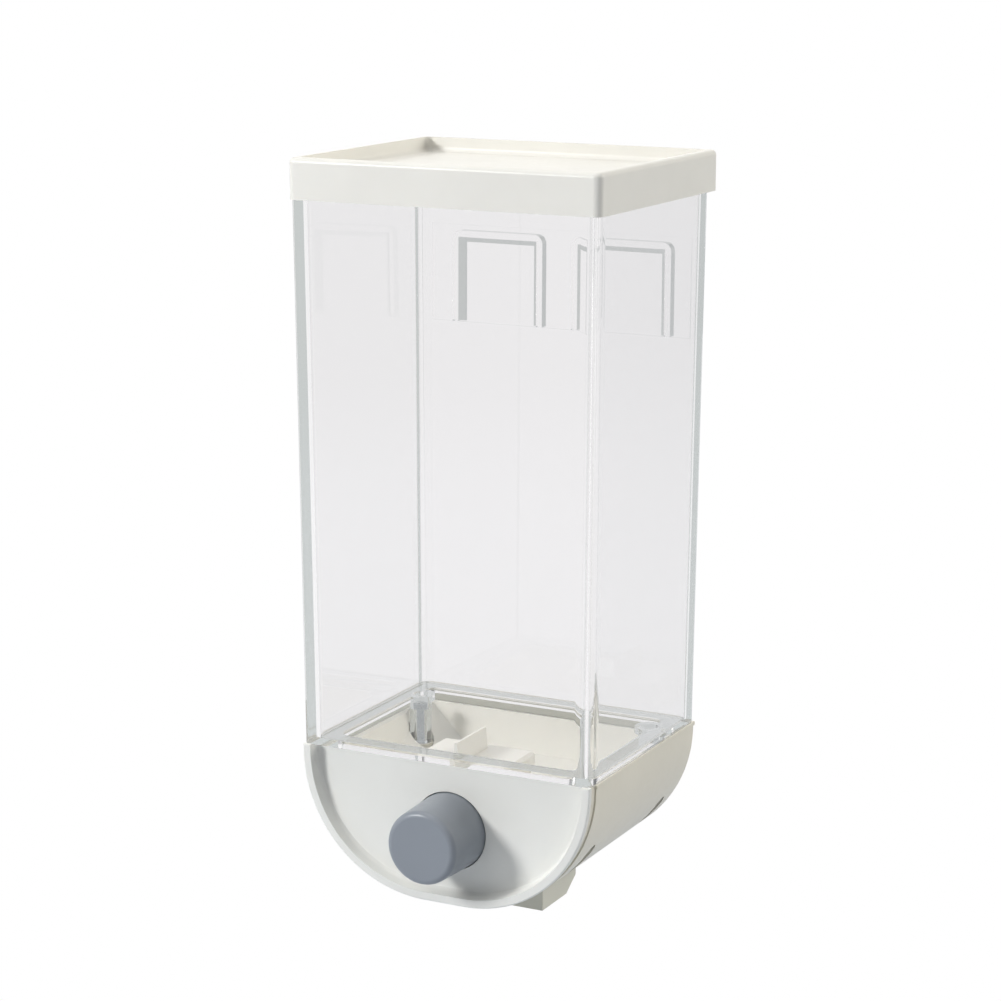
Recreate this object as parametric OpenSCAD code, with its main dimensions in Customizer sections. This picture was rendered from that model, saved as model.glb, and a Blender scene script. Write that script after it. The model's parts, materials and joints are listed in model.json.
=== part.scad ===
// Wall-hung cereal dispenser: a clear tank on a D-shaped base with a push-button gate.
// Millimetres, +Z up, front towards -Y. The origin is under the centre of the whole outline,
// at the height of the spout's mouth.

/* [Tank] */
// Outer width of the tank's mouth
tank_w = 105; // [100:0.5:112]
// Outer depth of the tank's mouth
tank_d = 82.3; // [80:0.1:88]
// Height of the clear tank
tank_h = 175; // [170:1:230]
// How much each side leans in towards the bottom
tank_lean = 1.5; // [1:0.1:1.8]
// Thickness of the clear wall
tank_wall = 2.4; // [2.2:0.1:2.6]

/* [Lid] */
// Height of the lid
lid_h = 13; // [12:0.5:16]
// How far the lid stands out on the left and right
lid_over_side = 0.8; // [0.4:0.1:1.5]
// How far the lid stands out in front
lid_over_front = 0.6; // [0.4:0.1:1.5]
// How far the lid reaches back to the wall
lid_over_back = 5.8; // [5:0.1:8]
// Depth of the tray in the lid's top
lid_tray = 4.8; // [3:0.1:5]

/* [Base] */
// Height of the D-shaped base
base_h = 45.7; // [45:0.1:47]
// Radius of the base's two lower corners
base_r = 44; // [43.5:0.1:44.1]
// Thickness of the base shell
base_wall = 2; // [1.8:0.1:2.1]
// Drop of the spout's mouth below the base
spout_drop = 8.5; // [6:0.5:12]
// Half of the spout's width
spout_half = 21; // [20:0.5:21.5]

/* [Button] */
// Travel of the button and the gate behind it
travel = 15; // [12:0.5:15]
// Radius of the button's front face
button_r = 12; // [11.5:0.1:12.3]
// Radius of the button where it enters the cover
button_root_r = 12.6; // [12.5:0.1:12.7]
// How far the button stands out of the cover's rim
button_out = 15; // [12:0.5:18]
// Depth of the button's axis below the top of the base
button_drop = 22.8; // [22.6:0.1:23]

/* [Hidden] */
$fn = 96;
eps = 0.01;
over = 1;

// Colours
ivory = [0.88, 0.87, 0.83];
housing_ivory = [0.80, 0.79, 0.74];
hopper_beige = [0.85, 0.83, 0.77];
button_grey = [0.52, 0.55, 0.58];
mech_grey = [0.68, 0.68, 0.66];
clear = [0.93, 0.95, 0.96, 0.30];
silicone = [0.90, 0.90, 0.87];
rubber_black = [0.12, 0.12, 0.12];
steel = [0.66, 0.67, 0.69];

// Plan of the tank. Local frame: x, y from the tank's centre, z from the top of the base.
foot_w = tank_w - 2 * tank_lean;
foot_d = tank_d - 2 * tank_lean;
front_y = -foot_d / 2;
tank_corner = 1.8;
inner_corner = 4.2;
neck_h = 5.8;
neck_inset = 1.1;
flange_t = 2;
flange_in = 6;
spigot_inset = 2.2;
spigot_drop = 4;
boss_r = 3.7;
boss_drop = 14.7;
boss_at = [41.5, 22];
boss_ear = 5;
screw_r = 1.3;
head_r = 2.4;
head_h = 1.8;
head_gap = 0.2;
head_seat = -3;
bore_gap = 0.05;

// Sleeves in the housing under the tank's bosses, and the slots in its rounded sides
sleeve_r = 4.2;
sleeve_top = -boss_drop - 0.2;
slot_x = [37.5, 42];
slot_ys = [-23.6, 30];
slot_r = 2.8;
slot_top = -23;
slot_skin = 0.8;
slot_pocket = [3.4, 6.8];

// Pegs behind the cover and their sockets in the housing, as x and z
peg_at = [33, -26];
peg_r = 2;
socket_r = 3.6;
socket_y1 = -27;

// Wiper seal on the lid's plug
seal_z = 2.4;
seal_h = 2;
seal_groove = 0.9;

// Front cover and housing, along y
cover_proud = 1;
rim_y = front_y - cover_proud;
rim_t = 1.3;
shadow_gap = 1;
strip_y = rim_y + rim_t + shadow_gap;
dish_depth = 4.5;
plate_y = rim_y + dish_depth;
plate_t = 2;
cover_back_y = plate_y + plate_t;
housing_y = strip_y + 2.5;
back_y = foot_d / 2;
fit_gap = 0.25;

// Rounded foot of the dish's wall: how far above the plate, and how far in from the rim
dish_steps = [[2, 0.45], [1.1, 0.75], [0.4, 1.3], [0.01, 2.3]];

// D outline
d_half = foot_w / 2;
d_cx = d_half - base_r;
d_cz = base_r - base_h;

// Where everything stands in the whole object's frame
spout_z = -base_h - spout_drop;
button_front_y = rim_y - button_out;
lid_back_y = tank_d / 2 + lid_over_back;
shift = [0, -(button_front_y + lid_back_y) / 2, -spout_z];

// Hopper levels and plan
rim_top = -spigot_drop - 0.1;
rim_bottom = rim_top - 2;
bend_z = -17.5;
bend_half = 44.4;
hopper_bottom = -28.6;
hopper_skin = 2.2;
hopper_y0 = cover_back_y + fit_gap;
hopper_y1 = back_y - base_wall - 0.75;
outlet_x = 17;
outlet_y = 6.5;
bend_cut = [12, 34];
bend_front = 12;
rim_half = 48.3;
mouth_half = 46.4;
hood_half = 16.6;
hood_wall = 1.4;
hood_top = -1.8;
hood_y1 = -8;
rib_foot = 1.1;
rib_edge = 0.4;
rib_top = 5;
rib_y = [-30.9, -10.8];

// Gate, from the bottom up
tray_bottom = -34.2;
tray_t = 2;
tray_top = tray_bottom + tray_t;
tray_half = 31;
tray_y0 = -10;
tray_y1 = back_y - base_wall - 1.25;
gate_z0 = tray_top + 0.1;
gate_t = 2;
gate_z1 = gate_z0 + gate_t;
gate_half = 21;
rail_w = 1.4;
rail_gap = 0.2;
rail_y1 = 9.5;
tab_y0 = 10;
tab_t = 2;
tab_z1 = hopper_bottom - 0.1;
ear_x = 24.6;
ear_z1 = -26.9;
gate_screw_x = 4.5;
gate_screw_z = -30.3;
gate_head_r = 1.6;
pin_z = -29.4;
pin_x = 27;
pin_r = 1.5;
pin_run = 0.07;
spring_wire_r = 0.35;
spring_r = 2.45;
spring_turns = 7;
bracket_y = tray_y1 - 2;
post_x = 25.6;
post_ys = [-7.2, 2.6];
post_r = 2.6;
small_r = 1;

// Button and plunger, along y at rest
collar_r = 14.9;
hole_r = 12.9;
collar_y1 = cover_back_y + 4.85;
ring_t = 1.9;
flange_y = collar_y1 + ring_t + 0.1;
flange_r = 14.5;
flange_th = 2;
gate_y0 = flange_y + flange_th;
bar_half = 12;
bar_t = 1.6;
window_y0 = gate_y0 + bar_t;
window_y1 = -outlet_y - 2;
cap_wall = 1.6;
cap_front = 2;
hub_r = 5;
cap_hub_y = button_front_y + cap_front + 5.5;

// Chute
flange_low = tray_bottom - 2;
chute_front_y = rim_y + 28.9;
chute_flat = 18;
chute_slant = [7, 4.4];
chute_wall = 1.8;
chute_flange = 28.6;
chute_back_y = chute_front_y + chute_flat + chute_slant[0];

// Hanger channels on the tank's back
pad_y = back_y + tank_lean + 0.25;
pad_z = [127.6, 160];
pad_half = 46;
hanger_x = [5.3, 38.6];
hanger_top = 158;
hanger_rib = 2.2;
hanger_lip = 1.7;
hanger_depth = 3;
hanger_lip_t = 1.1;

// Moves a piece from the tank's own frame to the object's frame.
module place() {
    translate(shift) children();
}

module rounded_rect(w, d, r) {
    for (sx = [-1, 1], sy = [-1, 1])
        translate([sx * (w / 2 - r), sy * (d / 2 - r)]) circle(r, $fn = 48);
    square([w - 2 * r, d], center = true);
    square([w, d - 2 * r], center = true);
}

// A box given by two opposite corners.
module block(a, b) {
    translate(a) cube(b - a);
}

// Turns a shape drawn in x and z into a slab from y0 to y1.
module along_y(y0, y1) {
    translate([0, y1, 0]) rotate([90, 0, 0]) linear_extrude(y1 - y0) children();
}

// A round bar along y.
module bar_y(r, y0, y1) {
    along_y(y0, y1) circle(r);
}

// The base's outline in x and z: straight shoulders, two round corners and a flat bottom.
module d_shape(inset = 0, top = 0) {
    intersection() {
        union() {
            for (s = [-1, 1]) translate([s * d_cx, d_cz]) circle(base_r - inset, $fn = 128);
            translate([-d_cx, inset - base_h]) square([2 * d_cx, base_h]);
            translate([inset - d_half, d_cz]) square([2 * (d_half - inset), base_h]);
        }
        translate([-d_half, -base_h - over]) square([2 * d_half, base_h + over - top]);
    }
}

// One level of the tank's leaning outline, outside or, moved in by inset, inside.
module tank_level(z, inset) {
    grow = 2 * (tank_lean * z / tank_h - inset);
    translate([0, 0, z]) linear_extrude(eps)
        rounded_rect(foot_w + grow, foot_d + grow, inset > 0 ? inner_corner : tank_corner);
}

module tank_body(z0, z1, inset) {
    hull() {
        tank_level(z0, inset);
        tank_level(z1 - eps, inset);
    }
}

module hanger_channel() {
    w = hanger_x[1] - hanger_x[0];
    h = hanger_top - pad_z[0];
    corner = 3;
    translate([hanger_x[0], 0, pad_z[0]]) difference() {
        along_y(pad_y - over, pad_y + hanger_depth) {
            translate([corner, h - corner]) circle(corner, $fn = 48);
            translate([w - corner, h - corner]) circle(corner, $fn = 48);
            translate([corner, 0]) square([w - 2 * corner, h]);
            square([w, h - corner]);
        }
        block([hanger_rib, pad_y - 2 * over, -over],
              [w - hanger_rib, pad_y + hanger_depth - hanger_lip_t, h - hanger_rib]);
        block([hanger_rib + hanger_lip, pad_y - 2 * over, -over],
              [w - hanger_rib - hanger_lip, pad_y + 2 * hanger_depth, h - hanger_rib - hanger_lip]);
    }
}

// Puts its child at the two screw bosses under the tank's floor, mirrored left and right.
module at_bosses() {
    for (s = [0, 1]) mirror([s, 0, 0]) translate([boss_at[0], boss_at[1], 0]) children();
}

// Puts its child at the two pegs that join the cover and the housing, mirrored left and right.
module at_pegs() {
    for (s = [0, 1]) mirror([s, 0, 0]) translate([peg_at[0], 0, peg_at[1]]) children();
}

// Puts its child at the four posts that carry the gate's tray.
module at_posts() {
    for (s = [-1, 1], y = post_ys) translate([s * post_x, y, 0]) children();
}

module tank() {
    inner = spigot_inset + 2;
    color(clear) place() {
        difference() {
            tank_body(0, tank_h, 0);
            tank_body(flange_t, tank_h + over, tank_wall);
            translate([0, 0, -over]) linear_extrude(flange_t + 2 * over)
                rounded_rect(foot_w - 2 * tank_wall - 2 * flange_in,
                             foot_d - 2 * tank_wall - 2 * flange_in, 4);
            at_bosses() translate([0, 0, -over])
                cylinder(r = head_r + head_gap, h = flange_t + 2 * over, $fn = 48);
        }
        difference() {
            translate([0, 0, tank_h - eps]) linear_extrude(neck_h)
                rounded_rect(tank_w - 2 * neck_inset, tank_d - 2 * neck_inset, tank_corner);
            translate([0, 0, tank_h - over]) linear_extrude(neck_h + 2 * over)
                rounded_rect(tank_w - 2 * tank_wall, tank_d - 2 * tank_wall, inner_corner);
        }
        difference() {
            translate([0, 0, -spigot_drop]) linear_extrude(spigot_drop + flange_t / 2)
                rounded_rect(foot_w - 2 * spigot_inset, foot_d - 2 * spigot_inset, 2);
            translate([0, 0, -spigot_drop - over]) linear_extrude(spigot_drop + flange_t + 2 * over)
                rounded_rect(foot_w - 2 * inner, foot_d - 2 * inner, 1.2);
            block([-foot_w, -foot_d, -spigot_drop - over], [foot_w, hopper_y0, flange_t + over]);
        }
        difference() {
            at_bosses() {
                translate([0, 0, -boss_drop]) cylinder(r = boss_r, h = boss_drop + flange_t / 2, $fn = 48);
                cylinder(r = boss_ear, h = flange_t, $fn = 48);
                block([0, -boss_ear, 0], [boss_ear, boss_ear, flange_t]);
            }
            at_bosses() {
                translate([0, 0, head_seat])
                    cylinder(r = head_r + head_gap, h = 2 * flange_t - head_seat, $fn = 48);
                translate([0, 0, -boss_drop - over])
                    cylinder(r = screw_r + bore_gap, h = boss_drop + 2 * over, $fn = 32);
            }
        }
        difference() {
            block([-pad_half, back_y - tank_wall / 2, pad_z[0]], [pad_half, pad_y, pad_z[1]]);
            tank_body(flange_t, tank_h + over, tank_wall);
        }
        hanger_channel();
        mirror([1, 0, 0]) hanger_channel();
    }
}

// A round post whose top edge is rounded off.
module soft_post(r, h, soft) {
    rotate_extrude($fn = 32) {
        square([r, h - soft]);
        square([r - soft, h]);
        intersection() {
            translate([r - soft, h - soft]) circle(soft, $fn = 32);
            square([r, h]);
        }
    }
}

// Puts its child at the four corners of the lid's outline, moved in by inset.
module at_lid_corners(inset) {
    w = tank_w + 2 * lid_over_side - 2 * inset;
    for (sx = [-1, 1], y = [inset - tank_d / 2 - lid_over_front, tank_d / 2 + lid_over_back - inset])
        translate([sx * w / 2, y, 0]) children();
}

module lid() {
    corner = 2.6;
    rim = 2.6;
    tray_corner = 2.4;
    skin = 2;
    skirt = 1.55;
    soft = 1.7;
    plug_z = 0.5;
    plug_t = 1.8;
    x1 = tank_w / 2 + lid_over_side - skirt;
    y0 = skirt - tank_d / 2 - lid_over_front;
    y1 = tank_d / 2 - neck_inset + 0.3;
    y2 = tank_d / 2 + lid_over_back - skirt;
    plug_w = tank_w - 2 * tank_wall - 1.4;
    plug_d = tank_d - 2 * tank_wall - 1.4;
    hollow_h = lid_h - lid_tray - skin;
    color(ivory) place() translate([0, 0, tank_h]) {
        difference() {
            hull() at_lid_corners(corner) soft_post(corner, lid_h, soft);
            translate([0, 0, lid_h + over]) mirror([0, 0, 1])
                hull() at_lid_corners(rim + tray_corner) soft_post(tray_corner, lid_tray + over, soft);
            block([-x1, y0, -over], [x1, y1, hollow_h]);
            block([-x1, y1 + skirt, -over], [x1, y2, hollow_h]);
        }
        difference() {
            translate([0, 0, plug_z]) linear_extrude(hollow_h - plug_z + skin / 2)
                rounded_rect(plug_w, plug_d, inner_corner);
            translate([0, 0, plug_z - over]) linear_extrude(hollow_h - plug_z + over)
                rounded_rect(plug_w - 2 * plug_t, plug_d - 2 * plug_t, inner_corner - plug_t);
            translate([0, 0, seal_z]) linear_extrude(seal_h) difference() {
                square([2 * plug_w, 2 * plug_d], center = true);
                rounded_rect(plug_w - 2 * seal_groove, plug_d - 2 * seal_groove, inner_corner - seal_groove);
            }
        }
    }
}

module lid_seal() {
    w = tank_w - 2 * tank_wall - 0.4;
    d = tank_d - 2 * tank_wall - 0.4;
    gap = 0.6 + seal_groove;
    color(silicone) place() translate([0, 0, tank_h + seal_z + 0.1]) difference() {
        linear_extrude(seal_h - 0.2) rounded_rect(w, d, inner_corner);
        translate([0, 0, -over]) linear_extrude(seal_h + 2 * over)
            rounded_rect(w - 2 * gap + 0.3, d - 2 * gap + 0.3, inner_corner - seal_groove);
    }
}

// An eight-sided plan: a rectangle from y0 to y1 with its front corners cut by c and its back ones by b.
module cut_rect(half, y0, y1, c, b) {
    polygon([
        [-half + c, y0], [half - c, y0], [half, y0 + c], [half, y1 - b[1]],
        [half - b[0], y1], [-half + b[0], y1], [-half, y1 - b[1]], [-half, y0 + c]
    ]);
}

// The tunnel over the button's plunger, with two chamfers along its top.
module hood(half, y0, y1, top) {
    chamfer = 1;
    along_y(y0, y1) polygon([
        [-half, hopper_bottom - 2 * over], [half, hopper_bottom - 2 * over],
        [half, top - chamfer], [half - chamfer, top], [chamfer - half, top], [-half, top - chamfer]
    ]);
}

module hopper() {
    soft = 0.5;
    color(hopper_beige) place() difference() {
        union() {
            difference() {
                union() {
                    block([-rim_half, hopper_y0, rim_bottom], [rim_half, hopper_y1, rim_top]);
                    hull() {
                        translate([0, 0, rim_bottom]) linear_extrude(eps)
                            cut_rect(mouth_half, hopper_y0, hopper_y1, soft, [soft, soft]);
                        translate([0, 0, bend_z - 2]) linear_extrude(eps)
                            cut_rect(bend_half, hopper_y0 + 0.7, hopper_y1 - 0.2, bend_front + 1, bend_cut);
                        translate([0, 0, hopper_bottom]) linear_extrude(eps)
                            cut_rect(outlet_x + hopper_skin, -outlet_y - hopper_skin, outlet_y + hopper_skin,
                                     soft, [soft, soft]);
                    }
                    at_posts() translate([0, 0, tray_top])
                        cylinder(r = post_r, h = bend_z - tray_top, $fn = 32);
                }
                hull() {
                    translate([0, 0, rim_top + eps]) linear_extrude(over)
                        cut_rect(mouth_half - 1.6, hopper_y0 + 1.8, hopper_y1 - 2, soft, [soft, soft]);
                    translate([0, 0, bend_z]) linear_extrude(eps)
                        cut_rect(bend_half - 1.6, hopper_y0 + 2.9, hopper_y1 - 2.4, bend_front, bend_cut);
                    translate([0, 0, hopper_bottom - over]) linear_extrude(eps)
                        cut_rect(outlet_x, -outlet_y, outlet_y, soft, [soft, soft]);
                }
            }
            intersection() {
                hood(hood_half, hopper_y0, hood_y1, hood_top);
                block([-hood_half, hopper_y0, hopper_bottom], [hood_half, 0, 0]);
            }
            along_y(rib_y[0], rib_y[1]) polygon([
                [-rib_foot, hood_top - eps], [rib_foot, hood_top - eps],
                [rib_edge, rib_top], [-rib_edge, rib_top]
            ]);
        }
        hood(hood_half - hood_wall, hopper_y0 - over, hood_y1 - 1.6, hood_top - hood_wall);
        at_bosses() translate([0, 0, -base_h]) cylinder(r = sleeve_r + 0.3, h = base_h, $fn = 48);
        at_posts() translate([0, 0, tray_top - over]) cylinder(r = small_r + bore_gap, h = 7, $fn = 32);
    }
}

module base_housing() {
    lip = 0.4;
    lip_h = 1.2;
    ledge_x = 46.8;
    strip_inset = 0.5;
    web = [2.5, 12];
    slot_h = base_h + over + slot_top;
    color(housing_ivory) place() difference() {
        union() {
            difference() {
                union() {
                    along_y(housing_y, back_y) d_shape();
                    along_y(strip_y, housing_y + eps) d_shape(strip_inset);
                    block([-d_half - lip, housing_y, -lip_h], [d_half + lip, back_y + lip, 0]);
                }
                along_y(strip_y - over, back_y - base_wall) d_shape(base_wall, -over);
            }
            intersection() {
                along_y(housing_y, back_y - base_wall / 2) d_shape(base_wall / 2);
                union() {
                    at_bosses() translate([0, 0, -base_h])
                        cylinder(r = sleeve_r, h = base_h + sleeve_top, $fn = 48);
                    for (s = [-1, 1]) block([s > 0 ? ledge_x : -d_half, -10, rim_bottom - 2],
                                            [s > 0 ? d_half : -ledge_x, 25, rim_bottom]);
                    at_pegs() {
                        bar_y(socket_r, cover_back_y + 0.1, socket_y1);
                        block([web[0], cover_back_y + 0.1, -1], [web[1], socket_y1, 1]);
                    }
                }
            }
        }
        for (s = [-1, 1], y = slot_ys) translate([0, y, -base_h - over]) {
            for (x = slot_x) translate([s * x, 0, 0]) cylinder(r = slot_r, h = slot_h, $fn = 48);
            block([s > 0 ? slot_x[0] : -slot_x[1], -slot_r, 0],
                  [s > 0 ? slot_x[1] : -slot_x[0], slot_r, slot_h]);
        }
        for (y = slot_ys) intersection() {
            along_y(y - slot_pocket[0], y + slot_pocket[1]) d_shape(slot_skin);
            for (s = [-1, 1]) block([s > 0 ? slot_x[0] - slot_r : -d_half, back_y - 2 * foot_d, -base_h],
                                    [s > 0 ? d_half : slot_r - slot_x[0], back_y, slot_top + 2]);
        }
        at_bosses() translate([0, 0, sleeve_top - 10]) cylinder(r = screw_r + bore_gap, h = 20, $fn = 32);
        at_pegs() bar_y(peg_r + 0.1, cover_back_y, socket_y1 - over);
        block([-spout_half - 0.3, chute_front_y - 0.3, -base_h - over],
              [spout_half + 0.3, chute_back_y + 0.3, -base_h / 2]);
    }
}

module front_cover() {
    rim_w = 2.75;
    edge = 0.5;
    color(ivory) place() difference() {
        union() {
            hull() {
                along_y(rim_y, rim_y + eps) d_shape(edge, edge * 0.6);
                along_y(rim_y + edge * 0.4, rim_y + edge * 0.4 + eps) d_shape(edge * 0.3, edge * 0.2);
                along_y(rim_y + edge, rim_y + rim_t) d_shape();
            }
            along_y(rim_y + rim_t - eps, cover_back_y) d_shape(base_wall + 0.2, 0.2);
            translate([0, 0, -button_drop]) bar_y(collar_r, cover_back_y - eps, collar_y1);
            at_pegs() bar_y(peg_r, cover_back_y - eps, socket_y1 - 1.5);
        }
        hull() {
            along_y(rim_y - over, rim_y + 0.2) d_shape(rim_w, -over);
            for (step = dish_steps) along_y(plate_y - step[0], plate_y - step[0] + eps)
                d_shape(rim_w + step[1], -over);
        }
        translate([0, 0, -button_drop]) bar_y(hole_r, plate_y - over, collar_y1 + over);
    }
}

module button_cap() {
    len = flange_y - 0.1 - button_front_y;
    taper = plate_y - button_front_y;
    soft = 2;
    inner = button_root_r - cap_wall;
    color(button_grey) place() translate([0, button_front_y, -button_drop]) rotate([-90, 0, 0]) {
        rotate_extrude($fn = 128) difference() {
            union() {
                polygon([[0, 0], [button_r - soft, 0], [button_r, soft], [button_root_r, taper],
                         [button_root_r, len], [0, len]]);
                translate([button_r - soft, soft]) circle(soft, $fn = 48);
            }
            translate([-2 * button_r, -over]) square([2 * button_r, len + 2 * over]);
            translate([0, cap_front]) square([inner - 0.4, len]);
        }
        difference() {
            translate([0, 0, cap_front - eps])
                cylinder(r = hub_r, h = cap_hub_y - button_front_y - cap_front, $fn = 48);
            translate([0, 0, cap_front]) cylinder(r = pin_r + bore_gap, h = len, $fn = 32);
        }
    }
}

module plunger() {
    recess = 3.2;
    flat = button_drop + tray_bottom + 0.2;
    color(mech_grey) place() translate([0, 0, -button_drop]) difference() {
        union() {
            bar_y(flange_r, flange_y, flange_y + flange_th);
            bar_y(hub_r, cap_hub_y + 0.1, flange_y + eps);
        }
        bar_y(pin_r + 0.2, cap_hub_y, flange_y + flange_th + over);
        bar_y(3.1, flange_y + flange_th - recess, flange_y + flange_th + over);
        block([-flange_r, flange_y - over, -2 * flange_r], [flange_r, gate_y0 + over, flat]);
        for (s = [-1, 1]) translate([s * gate_screw_x, 0, gate_screw_z + button_drop])
            bar_y(small_r + 0.15, flange_y - over, flange_y + flange_th + over);
    }
}

module button_screw() {
    seat_y = flange_y + flange_th - 3.2;
    color(steel) place() translate([0, 0, -button_drop]) difference() {
        union() {
            bar_y(2.8, seat_y, seat_y + 2);
            bar_y(pin_r, button_front_y + cap_front + 1.2, seat_y + eps);
        }
        cross_recess(seat_y + 1, 1.4, 0.35);
    }
}

// A cross-shaped driver recess along y, 2 deep from y0, with arms of the given length and half width.
module cross_recess(y0, arm, half) {
    block([-arm, y0, -half], [arm, y0 + 2, half]);
    block([-half, y0, -arm], [half, y0 + 2, arm]);
}

module gate_plate() {
    color(mech_grey) place() difference() {
        union() {
            block([-gate_half, gate_y0 + 0.1, gate_z0], [gate_half, tab_y0 + tab_t, gate_z1]);
            block([-bar_half, gate_y0 + 0.02, gate_z0], [bar_half, window_y0, tab_z1]);
            block([-tray_half, tab_y0, gate_z0], [tray_half, tab_y0 + tab_t, tab_z1]);
            for (s = [-1, 1]) block([s > 0 ? ear_x : -tray_half, tab_y0, gate_z0],
                                    [s > 0 ? tray_half : -ear_x, tab_y0 + tab_t, ear_z1]);
        }
        block([-outlet_x, window_y0, gate_z0 - over], [outlet_x, window_y1, 0]);
        for (s = [-1, 1]) {
            translate([s * pin_x, 0, pin_z]) bar_y(pin_r + pin_run, tab_y0 - over, tab_y0 + tab_t + over);
            translate([s * gate_screw_x, 0, gate_screw_z])
                bar_y(small_r + bore_gap, gate_y0 - over, window_y0 + over);
        }
    }
}

module gate_screws() {
    color(steel) place() for (s = [-1, 1]) translate([s * gate_screw_x, 0, gate_screw_z]) {
        difference() {
            bar_y(gate_head_r, flange_y - 1.4, flange_y);
            cross_recess(flange_y - 2.6, 0.9, 0.2);
        }
        bar_y(small_r, flange_y - eps, window_y0 - 0.2);
    }
}

module stop_ring() {
    color(rubber_black) place() translate([0, 0, -button_drop]) difference() {
        bar_y(collar_r - 0.1, collar_y1, collar_y1 + ring_t);
        bar_y(hole_r + 0.1, collar_y1 - over, collar_y1 + ring_t + over);
    }
}

module outlet_seal() {
    color(silicone) place() difference() {
        block([-outlet_x - 2, -outlet_y - 2, gate_z1 + 0.05], [outlet_x + 2, outlet_y + 2, hopper_bottom]);
        block([-outlet_x, -outlet_y, gate_z0], [outlet_x, outlet_y, 0]);
    }
}

module gate_tray() {
    rail_x = gate_half + rail_gap;
    color(mech_grey) place() difference() {
        union() {
            block([-tray_half, tray_y0, tray_bottom], [tray_half, tray_y1, tray_top]);
            for (s = [-1, 1]) block([s > 0 ? rail_x : -rail_x - rail_w, tray_y0, tray_bottom],
                                    [s > 0 ? rail_x + rail_w : -rail_x, rail_y1, gate_z1 + 1.2]);
            block([-tray_half, bracket_y, tray_bottom], [tray_half, tray_y1, -26]);
        }
        block([-outlet_x - 1, -outlet_y - 1, tray_bottom - over], [outlet_x + 1, outlet_y + 1, 0]);
        for (s = [-1, 1]) {
            block([s * pin_x - 3.4, tab_y0 + tab_t + 0.5, tray_bottom - over],
                  [s * pin_x + 3.4, bracket_y, tray_top + over]);
            translate([s * pin_x, 0, pin_z]) bar_y(pin_r + 0.02, bracket_y - over, tray_y1 + over);
        }
        at_posts() translate([0, 0, tray_bottom - over])
            cylinder(r = small_r + 0.15, h = tray_t + 2 * over, $fn = 32);
    }
}

module guide_pins() {
    color(steel) place() for (s = [-1, 1]) translate([s * pin_x, 0, pin_z]) {
        bar_y(pin_r, 5.5, tray_y1 + eps);
        bar_y(2.4, tray_y1, tray_y1 + 1);
    }
}

module pin_clips() {
    color(steel) place() for (s = [-1, 1]) translate([s * pin_x, 0, pin_z]) difference() {
        bar_y(2.5, 6.2, 6.8);
        bar_y(pin_r + 0.02, 6, 7);
        block([-0.6, 6, 0], [0.6, 7, 3]);
    }
}

// Points along a coil about y, from y0 to y1.
module coil(y0, y1, turns, steps) {
    pitch = (y1 - y0 - 2 * spring_wire_r) / turns;
    n = turns * steps;
    for (i = [0 : n - 1]) hull() {
        for (k = [i, i + 1]) translate([spring_r * cos(360 * k / steps), y0 + spring_wire_r + pitch * k / steps,
                                        spring_r * sin(360 * k / steps)]) sphere(spring_wire_r, $fn = 6);
    }
}

module return_springs() {
    color(steel) place() for (s = [-1, 1]) translate([s * pin_x, 0, pin_z])
        coil(tab_y0 + tab_t + 0.1, bracket_y - 0.1, spring_turns, 11);
}

module outlet_chute() {
    outline = [
        [chute_front_y, flange_low], [chute_front_y, spout_z], [chute_front_y + chute_flat, spout_z],
        [chute_back_y, spout_z + chute_slant[1]], [chute_back_y, flange_low]
    ];
    color(ivory) place() difference() {
        union() {
            translate([-spout_half, 0, 0]) rotate([90, 0, 90]) linear_extrude(2 * spout_half) polygon(outline);
            block([-chute_flange, chute_front_y - 0.3, flange_low],
                  [chute_flange, chute_back_y + 1.8, tray_bottom]);
        }
        block([chute_wall - spout_half, chute_front_y + chute_wall, spout_z - over],
              [spout_half - chute_wall, chute_back_y - chute_wall, 0]);
        at_posts() translate([0, 0, flange_low - over]) cylinder(r = small_r + 0.15, h = 4, $fn = 32);
    }
}

module tank_screws() {
    bite = 9;
    color(steel) place() at_bosses() difference() {
        union() {
            translate([0, 0, head_seat]) cylinder(r = head_r, h = head_h, $fn = 48);
            translate([0, 0, sleeve_top - bite])
                cylinder(r = screw_r, h = head_seat - sleeve_top + bite + eps, $fn = 32);
        }
        translate([0, 0, head_seat + head_h]) rotate([90, 0, 0]) cross_recess(-1, 1.4, 0.3);
    }
}

module tray_screws() {
    thick = 1.3;
    color(steel) place() at_posts() translate([0, 0, flange_low]) difference() {
        union() {
            translate([0, 0, -thick]) cylinder(r = 1.8, h = thick, $fn = 32);
            translate([0, 0, -eps]) cylinder(r = small_r, h = 9, $fn = 32);
        }
        translate([0, 0, -thick]) rotate([90, 0, 0]) cross_recess(-thick, 0.9, 0.2);
    }
}

lid();
lid_seal();
tank();
hopper();
base_housing();
front_cover();
button_cap();
button_screw();
plunger();
gate_plate();
gate_screws();
stop_ring();
outlet_seal();
gate_tray();
guide_pins();
pin_clips();
return_springs();
outlet_chute();
tank_screws();
tray_screws();
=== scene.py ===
"""Looks for the wall-hung cereal dispenser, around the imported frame.

Materials, soft edges, return springs, light and camera. Lengths are in metres unless the name says otherwise.
"""

import json
import math

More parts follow.
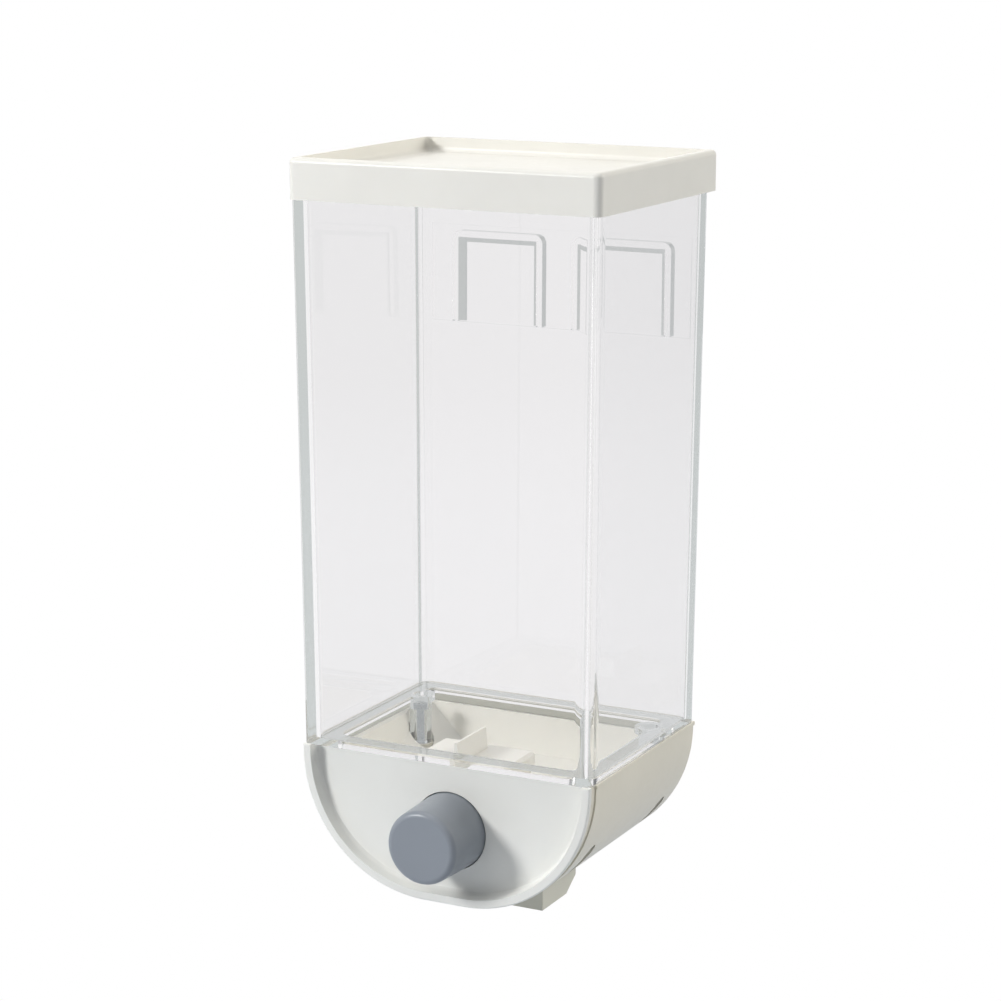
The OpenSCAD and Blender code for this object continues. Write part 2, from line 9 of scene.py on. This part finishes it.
import bmesh
import bpy
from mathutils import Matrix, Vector


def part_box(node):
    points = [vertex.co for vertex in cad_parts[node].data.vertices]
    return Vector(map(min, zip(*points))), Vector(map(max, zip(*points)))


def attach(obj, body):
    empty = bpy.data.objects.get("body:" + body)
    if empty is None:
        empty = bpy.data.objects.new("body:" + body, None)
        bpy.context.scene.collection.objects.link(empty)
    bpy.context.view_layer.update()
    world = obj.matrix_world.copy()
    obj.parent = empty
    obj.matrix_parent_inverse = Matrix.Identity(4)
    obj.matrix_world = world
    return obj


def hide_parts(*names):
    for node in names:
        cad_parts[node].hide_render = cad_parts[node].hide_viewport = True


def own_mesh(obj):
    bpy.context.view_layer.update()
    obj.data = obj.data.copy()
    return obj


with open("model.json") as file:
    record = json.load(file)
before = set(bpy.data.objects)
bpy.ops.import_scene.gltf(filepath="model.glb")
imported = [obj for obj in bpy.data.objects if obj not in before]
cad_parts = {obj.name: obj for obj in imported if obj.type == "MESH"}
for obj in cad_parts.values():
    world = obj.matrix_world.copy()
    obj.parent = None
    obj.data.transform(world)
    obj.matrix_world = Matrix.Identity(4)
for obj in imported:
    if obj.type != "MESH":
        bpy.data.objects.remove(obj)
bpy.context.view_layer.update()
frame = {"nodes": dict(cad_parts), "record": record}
nodes = frame["nodes"]

# Camera: its direction from the object, its roll and distance, its lens, and how far it is moved aside and up
VIEW_AZIMUTH = math.radians(26.986)
VIEW_ELEVATION = math.radians(12.336)
VIEW_ROLL = math.radians(0.109)
VIEW_DISTANCE = 0.8834
VIEW_LENS_MM = 99.45
SENSOR_WIDTH_MM = 36.0
VIEW_SHIFT = (0.00021, 0.00975)
VIEW_NEAR, VIEW_FAR = 0.05, 50.0
AIM_ABOVE_BASE = 0.0874

BASE_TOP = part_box("base_housing")[1].z
TANK_MIDDLE_Y = (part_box("tank")[0].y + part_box("base_housing")[1].y) / 2

# Studio floor, far enough below the object to stay out of the way
FLOOR_DROP = 0.16
FLOOR_RADIUS = 6.0

# Studio: dark bands to the left and right that only draw the clear edges.
# How far to the side each starts, is darkest and ends, and how dark it is there and past it.
BAND = (0.36, 0.50, 0.62, 0.80)
BAND_DARK = 0.06
BAND_PAST = 0.65
# Soft light on the object, from above and from the white backdrop
SKY = 0.52
BACKDROP = 0.7

# Lights: place, width and height, watts and colour
LIGHTS = {
    "key": ((-0.85, -1.15, 0.75), (0.3, 0.3), 16.5, (1.0, 1.0, 1.0)),
    "top": ((-0.3, -0.2, 1.6), (0.9, 0.9), 6.0, (1.0, 1.0, 1.0)),
    "side": ((1.2, 0.8, 0.8), (0.5, 0.9), 12.5, (1.0, 0.97, 0.90)),
}
LIGHT_AIM = (0.0, 0.0, 0.12)

WHITE = (1.0, 1.0, 1.0, 1.0)


# ---------------------------------------------------------------- node graph helpers


class Graph:
    """The node tree of a new material or world, with short calls to add and join nodes."""

    def __init__(self, owner, output):
        owner.use_nodes = True
        self.owner = owner
        self.tree = owner.node_tree
        self.tree.nodes.clear()
        self.out = self.add(output)

    def feed(self, socket, value):
        """Joins another node's output to a socket, or sets the socket to a plain value."""
        if isinstance(value, bpy.types.NodeSocket):
            self.tree.links.new(value, socket)
        else:
            socket.default_value = value

    def add(self, kind, **inputs):
        node = self.tree.nodes.new(kind)
        for key, value in inputs.items():
            self.put(node, key.replace("_", " "), value)
        return node

    def put(self, node, key, value):
        self.feed(node.inputs[key], value)

    def noise(self, scale, detail, roughness):
        node = self.add("ShaderNodeTexNoise", Scale=scale, Detail=detail, Roughness=roughness)
        self.put(node, "Vector", self.add("ShaderNodeTexCoord").outputs["Object"])
        return node.outputs["Fac"]

    def span(self, value, low, high, out_low, out_high):
        node = self.add("ShaderNodeMapRange")
        for key, number in zip(("From Min", "From Max", "To Min", "To Max"), (low, high, out_low, out_high)):
            self.put(node, key, number)
        self.put(node, "Value", value)
        return node.outputs["Result"]

    def math(self, operation, a, b=0.0):
        node = self.add("ShaderNodeMath")
        node.operation = operation
        self.feed(node.inputs[0], a)
        self.feed(node.inputs[1], b)
        return node.outputs[0]

    def mix_colour(self, factor, a, b):
        node = self.add("ShaderNodeMix")
        node.data_type = "RGBA"
        for name, value in (("Factor", factor), ("A", a), ("B", b)):
            self.feed(next(s for s in node.inputs if s.name == name and s.enabled), value)
        return next(s for s in node.outputs if s.enabled)

    def mix_shader(self, factor, a, b):
        node = self.add("ShaderNodeMixShader", Fac=factor)
        self.feed(node.inputs[1], a)
        self.feed(node.inputs[2], b)
        return node.outputs["Shader"]

    def bump(self, height, strength, distance):
        node = self.add("ShaderNodeBump", Strength=strength, Distance=distance, Height=height)
        return node.outputs["Normal"]

    def finish(self, shader):
        self.feed(self.out.inputs["Surface"], shader)
        return self.owner


def material_graph(name):
    return Graph(bpy.data.materials.new(name), "ShaderNodeOutputMaterial")


def linear(r, g, b):
    """A screen colour from 0 to 255 as a scene-linear colour."""

    def one(c):
        c /= 255.0
        return c / 12.92 if c <= 0.04045 else ((c + 0.055) / 1.055) ** 2.4

    return (one(r), one(g), one(b), 1.0)


# ---------------------------------------------------------------- materials

# Opaque plastic: how much darker its flow clouds are, and how strongly it bends light
CLOUD_DARKER = 0.05
PLASTIC_IOR = 1.49
CLEAR_IOR = 1.55
# Painted shade in deep corners, slots and grooves: how deep a corner counts, and how much of each colour stays there
CREVICE = 0.004
PAINTED_SHADE_TINT = (0.42, 0.36, 0.28)
# Painted glow inside the clear wall: after how many bounces the wall stops passing light on and glows instead, and
# the glow's pale green-grey
TRAPPED_AFTER = 4.5
PAINTED_INNER_GLOW = (0.61, 0.64, 0.63, 1.0)


def moulded_plastic(name, colour, roughness=0.34, grain=0.05):
    """Opaque moulded plastic: faint flow clouds in the colour, a fine texture, slightly uneven gloss and painted
    shade in its deep corners.
    """
    g = material_graph(name)
    clouds = g.noise(26.0, 3.0, 0.5)
    fine = g.noise(2600.0, 2.0, 0.6)
    peel = g.noise(420.0, 2.0, 0.5)
    darker = tuple(c * (1.0 - CLOUD_DARKER) for c in colour[:3]) + (1.0,)
    clouded = g.mix_colour(g.span(clouds, 0.35, 0.65, 0.0, 1.0), darker, colour)
    # Painted shade: deep corners, slots and grooves of the part darken towards a brown tint, standing in for the
    # shade that falls there
    open_sky = g.add("ShaderNodeAmbientOcclusion", Distance=CREVICE)
    open_sky.only_local = True
    open_sky.samples = 6
    shaded = tuple(c * tint for c, tint in zip(colour[:3], PAINTED_SHADE_TINT)) + (1.0,)
    base = g.mix_colour(g.span(open_sky.outputs["AO"], 0.05, 0.6, 0.0, 1.0), shaded, clouded)
    height = g.math("ADD", g.math("MULTIPLY", fine, 0.5), peel)
    shader = g.add("ShaderNodeBsdfPrincipled")
    g.put(shader, "Base Color", base)
    g.put(shader, "Roughness", g.span(peel, 0.3, 0.7, roughness - 0.04, roughness + 0.05))
    g.put(shader, "IOR", PLASTIC_IOR)
    g.put(shader, "Subsurface Weight", 0.06)
    g.put(shader, "Subsurface Radius", (0.004, 0.0035, 0.003))
    g.put(shader, "Normal", g.bump(height, grain, 0.0004))
    return g.finish(shader.outputs["BSDF"])


def clear_plastic(name):
    """Polished clear plastic: nearly colourless glass with the faintest moulding ripple.

    It lets shadows and soft light straight through, and after many bounces it glows with a painted pale green-grey
    light.
    """
    g = material_graph(name)
    ripple = g.noise(38.0, 2.0, 0.45)
    scuff = g.noise(900.0, 3.0, 0.6)
    shader = g.add("ShaderNodeBsdfPrincipled")
    g.put(shader, "Base Color", (0.935, 0.928, 0.932, 1.0))
    g.put(shader, "Roughness", g.span(scuff, 0.35, 0.75, 0.0, 0.03))
    g.put(shader, "IOR", CLEAR_IOR)
    g.put(shader, "Transmission Weight", 1.0)
    g.put(shader, "Normal", g.bump(ripple, 0.03, 0.0006))
    through = g.add("ShaderNodeBsdfTransparent", Color=(0.96, 0.96, 0.96, 1.0))
    path = g.add("ShaderNodeLightPath")
    soft = g.math("MAXIMUM", path.outputs["Is Shadow Ray"], path.outputs["Is Diffuse Ray"])
    plain = g.mix_shader(soft, shader.outputs["BSDF"], through.outputs["BSDF"])
    # Painted light: past a few bounces the clear wall glows pale green-grey instead of going dark
    trapped = g.math("GREATER_THAN", path.outputs["Ray Depth"], TRAPPED_AFTER)
    glow = g.add("ShaderNodeEmission", Color=PAINTED_INNER_GLOW, Strength=1.0)
    return g.finish(g.mix_shader(trapped, plain, glow.outputs["Emission"]))


def soft_rubber(name, colour, roughness):
    """Rubber or silicone with a fine dusty bloom."""
    g = material_graph(name)
    dust = g.noise(300.0, 5.0, 0.6)
    lighter = tuple(min(1.0, c * 1.25 + 0.01) for c in colour[:3]) + (1.0,)
    shader = g.add("ShaderNodeBsdfPrincipled")
    g.put(shader, "Base Color", g.mix_colour(g.span(dust, 0.4, 0.8, 0.0, 0.5), colour, lighter))
    g.put(shader, "Roughness", g.span(dust, 0.3, 0.7, roughness - 0.05, roughness + 0.08))
    g.put(shader, "Subsurface Weight", 0.1)
    g.put(shader, "Subsurface Radius", (0.003, 0.003, 0.003))
    g.put(shader, "Normal", g.bump(dust, 0.12, 0.0003))
    return g.finish(shader.outputs["BSDF"])


def plated_steel(name):
    """Zinc-plated wire and screws: fine drawn lines and small bright and dull patches."""
    g = material_graph(name)
    patches = g.noise(180.0, 4.0, 0.6)
    lines = g.noise(3500.0, 2.0, 0.5)
    shader = g.add("ShaderNodeBsdfPrincipled")
    g.put(shader, "Base Color", g.mix_colour(patches, (0.50, 0.51, 0.53, 1.0), (0.68, 0.69, 0.71, 1.0)))
    g.put(shader, "Metallic", 1.0)
    g.put(shader, "Roughness", g.span(patches, 0.3, 0.7, 0.22, 0.36))
    g.put(shader, "Normal", g.bump(lines, 0.08, 0.0002))
    return g.finish(shader.outputs["BSDF"])


MATERIALS = {
    "ivory": moulded_plastic("ivory", linear(233, 231, 224), roughness=0.36),
    "cover_ivory": moulded_plastic("cover_ivory", linear(233, 233, 228), roughness=0.38),
    "housing_ivory": moulded_plastic("housing_ivory", linear(224, 219, 204), roughness=0.36),
    # The spout's ivory is darker than the rest: painted shade for the spout, which sits in shadow under the cover
    "spout_ivory": moulded_plastic("spout_ivory", linear(212, 210, 196)),
    "beige": moulded_plastic("beige", linear(244, 242, 234), roughness=0.42),
    "clear": clear_plastic("clear"),
    "button_grey": moulded_plastic("button_grey", linear(138, 144, 152), roughness=0.32, grain=0.03),
    "mech_grey": moulded_plastic("mech_grey", linear(190, 190, 187), roughness=0.4),
    "silicone": soft_rubber("silicone", linear(236, 236, 232), 0.5),
    "black_rubber": soft_rubber("black_rubber", linear(40, 40, 42), 0.6),
    "steel": plated_steel("steel"),
}

# ---------------------------------------------------------------- CAD nodes: material, smooth shading and soft edges

# Radius of the moulded edge on each node, in millimetres
EDGE_MM = {
    "base_housing": 0.3, "outlet_chute": 0.4, "hopper": 0.5, "plunger": 0.3, "tank": 0.3,
    "gate_plate": 0.2, "gate_tray": 0.25, "stop_ring": 0.2, "lid_seal": 0.4, "outlet_seal": 0.3,
}
EDGE_SEGMENTS = 3
FACE_WEIGHT = 90
SMOOTH_ANGLE = math.radians(28)
WELD_GAP = 0.00001


def shading_nodes():
    """Joins the split corners of a CAD mesh again, then smooths its round faces and keeps its creases."""
    group = bpy.data.node_groups.new("smooth_by_angle", "GeometryNodeTree")
    for side in ("INPUT", "OUTPUT"):
        group.interface.new_socket("Geometry", in_out=side, socket_type="NodeSocketGeometry")
    start = group.nodes.new("NodeGroupInput")
    end = group.nodes.new("NodeGroupOutput")
    merge = group.nodes.new("GeometryNodeMergeByDistance")
    merge.inputs["Distance"].default_value = WELD_GAP
    smooth = group.nodes.new("GeometryNodeSetShadeSmooth")
    smooth.domain = "FACE"
    crease = group.nodes.new("GeometryNodeSetShadeSmooth")
    crease.domain = "EDGE"
    crease.inputs["Shade Smooth"].default_value = False
    angle = group.nodes.new("GeometryNodeInputMeshEdgeAngle")
    wide = group.nodes.new("FunctionNodeCompare")
    wide.data_type = "FLOAT"
    wide.operation = "GREATER_THAN"
    wide.inputs[1].default_value = SMOOTH_ANGLE
    link = group.links.new
    link(start.outputs[0], merge.inputs["Geometry"])
    link(merge.outputs["Geometry"], smooth.inputs["Geometry"])
    link(smooth.outputs["Geometry"], crease.inputs["Geometry"])
    link(angle.outputs["Unsigned Angle"], wide.inputs[0])
    link(wide.outputs["Result"], crease.inputs["Selection"])
    link(crease.outputs["Geometry"], end.inputs[0])
    return group


SHADING = shading_nodes()


def dress(node, slot):
    obj = nodes[node]
    obj.data.materials.clear()
    obj.data.materials.append(MATERIALS[slot])
    split_normals = obj.data.attributes.get("custom_normal")
    if split_normals:
        obj.data.attributes.remove(split_normals)
    shading = obj.modifiers.new("shading", "NODES")
    shading.node_group = SHADING
    edge = EDGE_MM.get(node)
    if edge:
        bevel = obj.modifiers.new("edge", "BEVEL")
        bevel.width = edge / 1000.0
        bevel.segments = EDGE_SEGMENTS
        bevel.limit_method = "ANGLE"
        bevel.angle_limit = SMOOTH_ANGLE
        bevel.use_clamp_overlap = True
    weighted = obj.modifiers.new("normals", "WEIGHTED_NORMAL")
    weighted.keep_sharp = True
    weighted.weight = FACE_WEIGHT


for part in frame["record"]["subparts"]:
    dress(part["node"], part["material_slot"])

# ---------------------------------------------------------------- return springs

# Each spring: its wire's radius, its turns, and how many at each end lie closed
WIRE_RADIUS = 0.00035
TURNS = 8
CLOSED_TURNS = 0.75
STEPS_PER_TURN = 36
WIRE_SIDES = 10


def coil_piece(name, centre_x, centre_z, start_y, end_y, radius):
    """A round-wire compression spring along y with closed ends."""
    mesh = bpy.data.meshes.new(name)
    bm = bmesh.new()
    run = end_y - start_y - 2 * WIRE_RADIUS
    lead = 2 * WIRE_RADIUS / run

    def rise(turn):
        """Share of the way along the axis: slight over the end turns, even between them."""
        middle = min(max((turn - CLOSED_TURNS) / (TURNS - 2 * CLOSED_TURNS), 0.0), 1.0)
        first = min(turn / CLOSED_TURNS, 1.0)
        last = max(0.0, (turn - TURNS + CLOSED_TURNS) / CLOSED_TURNS)
        return lead * first + (1 - 2 * lead) * middle + lead * last

    rows = []
    for step in range(TURNS * STEPS_PER_TURN + 1):
        turn = step / STEPS_PER_TURN
        angle = 2 * math.pi * turn
        centre = Vector((centre_x, start_y + WIRE_RADIUS + run * rise(turn), centre_z))
        out = Vector((math.cos(angle), 0.0, math.sin(angle)))
        row = []
        for side in range(WIRE_SIDES):
            around = 2 * math.pi * side / WIRE_SIDES
            along_y = Vector((0.0, WIRE_RADIUS * math.sin(around), 0.0))
            row.append(bm.verts.new(centre + out * (radius + WIRE_RADIUS * math.cos(around)) + along_y))
        rows.append(row)
    for row, following in zip(rows, rows[1:]):
        for side in range(WIRE_SIDES):
            beside = (side + 1) % WIRE_SIDES
            bm.faces.new((row[side], row[beside], following[beside], following[side]))
    bm.faces.new(rows[0][::-1])
    bm.faces.new(rows[-1])
    bmesh.ops.recalc_face_normals(bm, faces=bm.faces)
    for face in bm.faces:
        face.smooth = len(face.verts) == 4
    bm.to_mesh(mesh)
    bm.free()
    obj = bpy.data.objects.new(name, mesh)
    bpy.context.scene.collection.objects.link(obj)
    mesh.materials.append(MATERIALS["steel"])
    return obj


def springs():
    """The two coils in the place of their CAD stand-ins."""
    low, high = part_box("return_springs")
    reach = (high.z - low.z) / 2
    for side, x in (("left", low.x + reach), ("right", high.x - reach)):
        piece = coil_piece(f"return_spring_{side}", x, (low.z + high.z) / 2, low.y, high.y, reach - WIRE_RADIUS)
        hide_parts("return_springs")
        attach(piece, "base")
        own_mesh(piece)


springs()

# ---------------------------------------------------------------- studio


def studio_floor():
    """A matt floor that lights the object from below, and looks white itself."""
    g = material_graph("studio_floor")
    speckle = g.noise(8.0, 2.0, 0.5)
    matte = g.add("ShaderNodeBsdfDiffuse")
    g.put(matte, "Color", g.mix_colour(speckle, (0.50, 0.53, 0.58, 1.0), (0.54, 0.57, 0.62, 1.0)))
    glow = g.add("ShaderNodeEmission", Color=WHITE, Strength=1.0)
    path = g.add("ShaderNodeLightPath")
    looked_at = g.math("MAXIMUM", path.outputs["Is Camera Ray"], path.outputs["Is Transmission Ray"])
    material = g.finish(g.mix_shader(looked_at, matte.outputs["BSDF"], glow.outputs["Emission"]))
    bpy.ops.mesh.primitive_circle_add(
        vertices=64, radius=FLOOR_RADIUS, fill_type="NGON", location=(0, 0, -FLOOR_DROP)
    )
    floor = bpy.context.object
    floor.name = "studio_floor"
    floor.data.materials.append(material)


def studio_world():
    """White behind the object, dark bands left and right that only draw the clear edges, and soft light."""
    g = Graph(bpy.data.worlds.new("studio"), "ShaderNodeOutputWorld")
    direction = g.add("ShaderNodeTexCoord").outputs["Generated"]

    def towards(axis):
        """How far a direction points along an axis, and 0 where it points away."""
        node = g.add("ShaderNodeVectorMath")
        node.operation = "DOT_PRODUCT"
        g.feed(node.inputs[0], direction)
        node.inputs[1].default_value = axis
        return g.math("MAXIMUM", node.outputs["Value"], 0.0)

    in_view = g.add("ShaderNodeTexCoord").outputs["Camera"]
    aside = g.math("ABSOLUTE", g.add("ShaderNodeSeparateXYZ", Vector=in_view).outputs["X"])
    near_edge = g.span(aside, BAND[0], BAND[1], 1.0, BAND_DARK)
    far_edge = g.span(aside, BAND[2], BAND[3], BAND_DARK, BAND_PAST)
    path = g.add("ShaderNodeLightPath")
    bands = g.math("MAXIMUM", g.math("MAXIMUM", near_edge, far_edge), path.outputs["Is Camera Ray"])
    behind = (-math.sin(VIEW_AZIMUTH), math.cos(VIEW_AZIMUTH), 0.0)
    from_sky = g.math("MULTIPLY", towards((0.0, 0.0, 1.0)), SKY)
    ambient = g.math("ADD", from_sky, g.math("MULTIPLY", towards(behind), BACKDROP))
    diffuse = path.outputs["Is Diffuse Ray"]
    strength = g.math(
        "ADD",
        g.math("MULTIPLY", diffuse, ambient),
        g.math("MULTIPLY", g.math("SUBTRACT", 1.0, diffuse), bands),
    )
    ground = g.add("ShaderNodeBackground", Color=WHITE, Strength=strength)
    bpy.context.scene.world = g.finish(ground.outputs["Background"])


def area_light(name, place, size, watts, colour):
    data = bpy.data.lights.new(name, "AREA")
    data.shape = "RECTANGLE"
    data.size, data.size_y = size
    data.energy = watts
    data.color = colour
    obj = bpy.data.objects.new(name, data)
    obj.location = place
    obj.rotation_euler = (Vector(LIGHT_AIM) - Vector(place)).to_track_quat("-Z", "Y").to_euler()
    bpy.context.scene.collection.objects.link(obj)


def camera():
    az, el = VIEW_AZIMUTH, VIEW_ELEVATION
    back = Vector((math.sin(az) * math.cos(el), -math.cos(az) * math.cos(el), math.sin(el)))
    right = Vector((math.cos(az), math.sin(az), 0.0))
    up = back.cross(right)
    turned_right = right * math.cos(VIEW_ROLL) + up * math.sin(VIEW_ROLL)
    turned_up = up * math.cos(VIEW_ROLL) - right * math.sin(VIEW_ROLL)
    aim = Vector((0.0, TANK_MIDDLE_Y, BASE_TOP + AIM_ABOVE_BASE))
    eye = aim - turned_right * VIEW_SHIFT[0] - turned_up * VIEW_SHIFT[1] + back * VIEW_DISTANCE
    data = bpy.data.cameras.new("camera")
    data.lens = VIEW_LENS_MM
    data.sensor_width = SENSOR_WIDTH_MM
    data.clip_start = VIEW_NEAR
    data.clip_end = VIEW_FAR
    obj = bpy.data.objects.new("camera", data)
    bpy.context.scene.collection.objects.link(obj)
    matrix = obj.matrix_world.copy()
    for row, vectors in enumerate(zip(turned_right, turned_up, back, eye)):
        matrix[row] = vectors
    obj.matrix_world = matrix
    bpy.context.scene.camera = obj


studio_floor()
studio_world()
for name, (place, size, watts, colour) in LIGHTS.items():
    area_light(name, place, size, watts, colour)
camera()
bpy.context.scene.view_settings.view_transform = "Standard"
